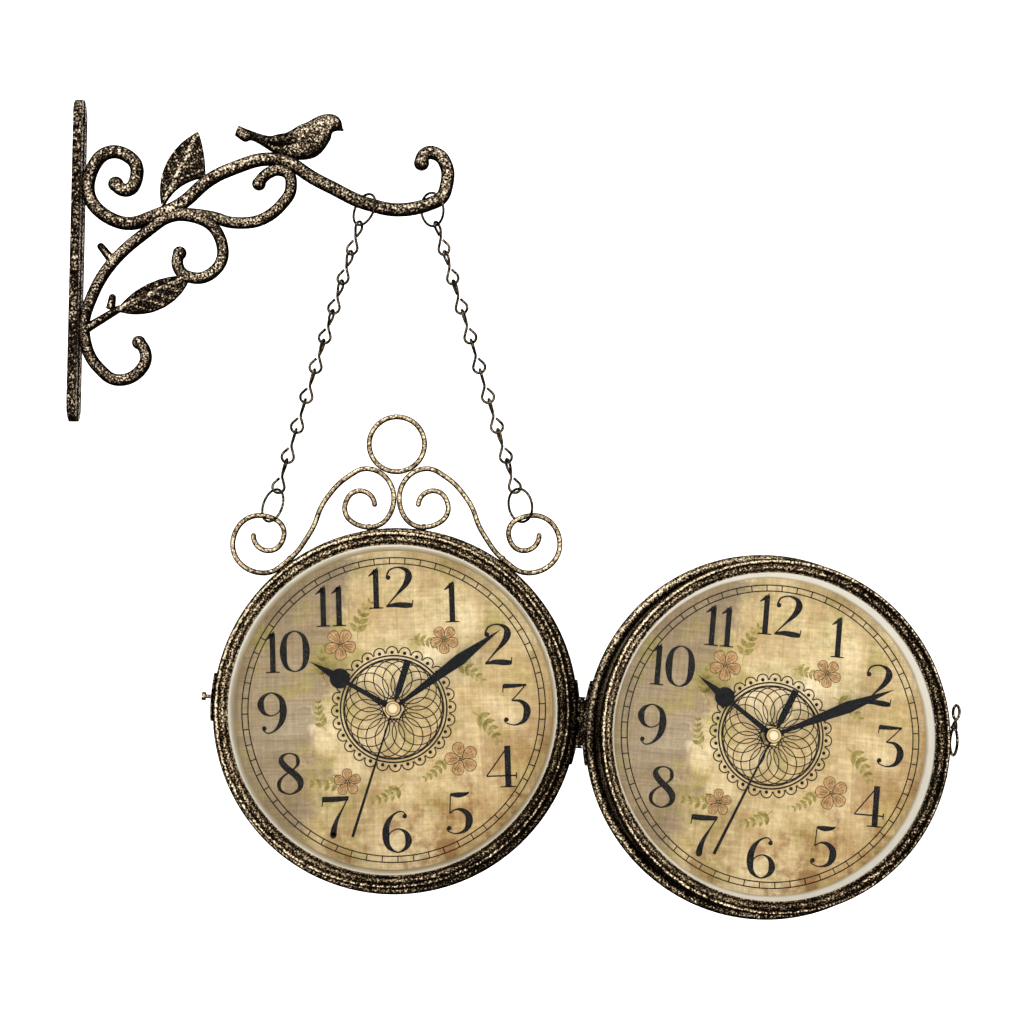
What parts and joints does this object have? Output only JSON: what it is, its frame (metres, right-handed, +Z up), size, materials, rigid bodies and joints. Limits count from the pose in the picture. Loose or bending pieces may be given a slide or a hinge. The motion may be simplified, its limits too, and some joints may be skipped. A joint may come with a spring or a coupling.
{
  "type": "double-sided wall clock",
  "caption": "Double-sided wall clock: hinged round cases that close back to back, hung on chains from a scrolled cast wall bracket with a perched bird, geared hands on each dial.",
  "frame": {"origin": "on the back face of the wall plate, midway between the screw holes", "axes": "+X out from the wall along the arm, +Z up, +Y away from the viewer of the first dial"},
  "size_m": [0.538, 0.0605, 0.503],
  "materials": {
    "cast_metal": "dark bronze paint rubbed with gold on raised edges",
    "bronze_case": "aged bronze paint, speckled and rubbed, satin",
    "bronze_rod": "gold-bronze paint over bent rod, satin",
    "chain_wire": "dark antique bronze plating",
    "clear_glass": "clear, polished",
    "cream_plastic": "cream, semi gloss",
    "printed_paper": "aged parchment print, satin",
    "hardboard": "pressed fibre board, matt",
    "black_hands": "black paint, satin",
    "brass_fittings": "turned brass, satin",
    "black_plastic": "fine moulded grain",
    "cell_jacket": "plain grey sleeve",
    "contact_steel": "nickel plated strip"
  },
  "bodies": {
    "bracket": {"wall_bracket": "cast_metal"},
    "chains": {"left_top_ring": "chain_wire", "left_chain_links": "chain_wire", "left_bottom_ring": "chain_wire", "right_top_ring": "chain_wire", "right_chain_links": "chain_wire", "right_bottom_ring": "chain_wire"},
    "first_case": {"first_case_shell": "bronze_case", "first_bezel": "bronze_case", "first_glass": "clear_glass", "first_spacer_ring": "cream_plastic", "first_dial_paper": "printed_paper", "first_dial_board": "hardboard", "first_dial_tabs": "contact_steel", "first_movement_housing": "black_plastic", "first_movement_bush": "brass_fittings", "first_dial_nut": "brass_fittings", "first_battery": "cell_jacket", "first_battery_contacts": "contact_steel", "first_hinge_leaf": "bronze_case", "crest_ring": "bronze_rod", "crest_scroll_left": "bronze_rod", "crest_scroll_right": "bronze_rod", "hinge_pin": "bronze_case", "keeper_plate": "bronze_case", "keeper_stud": "bronze_case"},
    "second_case": {"second_case_shell": "bronze_case", "second_bezel": "bronze_case", "second_glass": "clear_glass", "second_spacer_ring": "cream_plastic", "second_dial_paper": "printed_paper", "second_dial_board": "hardboard", "second_dial_tabs": "contact_steel", "second_movement_housing": "black_plastic", "second_movement_bush": "brass_fittings", "second_dial_nut": "brass_fittings", "second_battery": "cell_jacket", "second_battery_contacts": "contact_steel", "second_hinge_leaf": "bronze_case", "latch_plate": "bronze_case", "latch_pivot": "bronze_case"},
    "latch": {"latch_arm": "bronze_case"},
    "first_second_hand": {"first_second_hand": "black_hands", "first_second_arbor": "brass_fittings"},
    "first_minute_hand": {"first_minute_hand": "black_hands", "first_minute_pipe": "brass_fittings"},
    "first_hour_hand": {"first_hour_hand": "black_hands", "first_hour_pipe": "brass_fittings"},
    "first_knob": {"first_setting_knob": "black_plastic"},
    "second_second_hand": {"second_second_hand": "black_hands", "second_second_arbor": "brass_fittings"},
    "second_minute_hand": {"second_minute_hand": "black_hands", "second_minute_pipe": "brass_fittings"},
    "second_hour_hand": {"second_hour_hand": "black_hands", "second_hour_pipe": "brass_fittings"},
    "second_knob": {"second_setting_knob": "black_plastic"}
  },
  "joints": [
    {"name": "chain_swing", "type": "hinge", "parent": "bracket", "child": "chains", "pos_m": [0.2005, 0, 0.0353], "axis": [1, 0, 0], "range_deg": [-12, 12]},
    {"name": "clock_rock", "type": "hinge", "parent": "chains", "child": "first_case", "pos_m": [0.2005, 0, -0.15973], "axis": [1, 0, 0], "range_deg": [-12, 12]},
    {"name": "case_hinge", "type": "hinge", "parent": "first_case", "child": "second_case", "pos_m": [0.31233, 0.00355, -0.28422], "axis": [0.0698, 0, 0.9976], "range_deg": [0, 175]},
    {"name": "latch_turn", "type": "hinge", "parent": "second_case", "child": "latch", "pos_m": [0.5349, 0.01951, -0.29978], "axis": [0.9938, 0.0872, -0.0695], "range_deg": [0, 90]},
    {"name": "first_second_spin", "type": "hinge", "parent": "first_case", "child": "first_second_hand", "pos_m": [0.2005, 0.00355, -0.2764], "axis": [0, 1, 0], "continuous": true},
    {"name": "first_minute_spin", "type": "hinge", "parent": "first_case", "child": "first_minute_hand", "pos_m": [0.2005, 0.00355, -0.2764], "axis": [0, 1, 0], "continuous": true},
    {"name": "first_hour_spin", "type": "hinge", "parent": "first_case", "child": "first_hour_hand", "pos_m": [0.2005, 0.00355, -0.2764], "axis": [0, 1, 0], "continuous": true},
    {"name": "first_knob_turn", "type": "hinge", "parent": "first_case", "child": "first_knob", "pos_m": [0.2005, 0.00355, -0.2634], "axis": [0, 1, 0], "continuous": true},
    {"name": "second_second_spin", "type": "hinge", "parent": "second_case", "child": "second_second_hand", "pos_m": [0.42373, 0.01332, -0.29201], "axis": [-0.0869, 0.9962, 0.0061], "continuous": true},
    {"name": "second_minute_spin", "type": "hinge", "parent": "second_case", "child": "second_minute_hand", "pos_m": [0.42373, 0.01332, -0.29201], "axis": [-0.0869, 0.9962, 0.0061], "continuous": true},
    {"name": "second_hour_spin", "type": "hinge", "parent": "second_case", "child": "second_hour_hand", "pos_m": [0.42373, 0.01332, -0.29201], "axis": [-0.0869, 0.9962, 0.0061], "continuous": true},
    {"name": "second_knob_turn", "type": "hinge", "parent": "second_case", "child": "second_knob", "pos_m": [0.42553, 0.0134, -0.27914], "axis": [-0.0869, 0.9962, 0.0061], "continuous": true}
  ],
  "couplings": [
    {"joint": "first_minute_spin", "follows": "first_second_spin", "ratio": 0.016667},
    {"joint": "first_hour_spin", "follows": "first_second_spin", "ratio": 0.0013889},
    {"joint": "first_knob_turn", "follows": "first_second_spin", "ratio": -0.0055556},
    {"joint": "second_minute_spin", "follows": "second_second_spin", "ratio": 0.016667},
    {"joint": "second_hour_spin", "follows": "second_second_spin", "ratio": 0.0013889},
    {"joint": "second_knob_turn", "follows": "second_second_spin", "ratio": -0.0055556}
  ]
}
